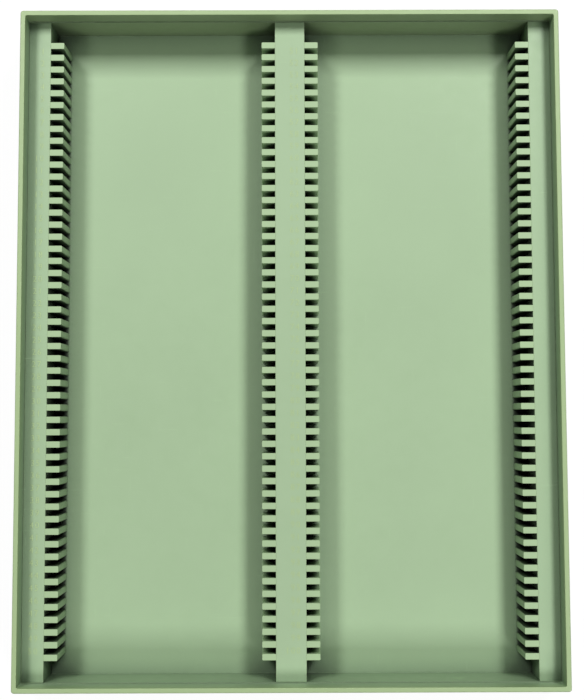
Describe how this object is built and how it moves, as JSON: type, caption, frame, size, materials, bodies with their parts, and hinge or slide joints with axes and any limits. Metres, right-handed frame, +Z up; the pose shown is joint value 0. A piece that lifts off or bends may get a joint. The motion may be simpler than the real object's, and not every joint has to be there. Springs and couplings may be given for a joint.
{
  "type": "microscope slide box",
  "caption": "Open rectangular slide storage tray with toothed rails along two columns that hold microscope slides on edge, standing in its upturned shallow lift-off lid.",
  "frame": {"origin": "middle of the footprint, on the surface that the upturned lid lies on", "axes": "+Z up out of the open tray, +Y along the slide columns towards the first places, +X across the columns from the left deck to the right deck"},
  "size_m": [0.1892, 0.2344, 0.0315],
  "materials": {
    "green_plastic": "satin pale green moulded plastic"
  },
  "bodies": {
    "lid": {"lid": "green_plastic"},
    "tray": {"tray": "green_plastic", "left_rail": "green_plastic", "centre_rail": "green_plastic", "right_rail": "green_plastic", "left_fins": "green_plastic", "centre_left_fins": "green_plastic", "centre_right_fins": "green_plastic", "right_fins": "green_plastic"}
  },
  "joints": [
    {"name": "tray_lift", "type": "slide", "parent": "lid", "child": "tray", "axis": [0, 0, 1], "range_m": [0, 0.04]}
  ]
}
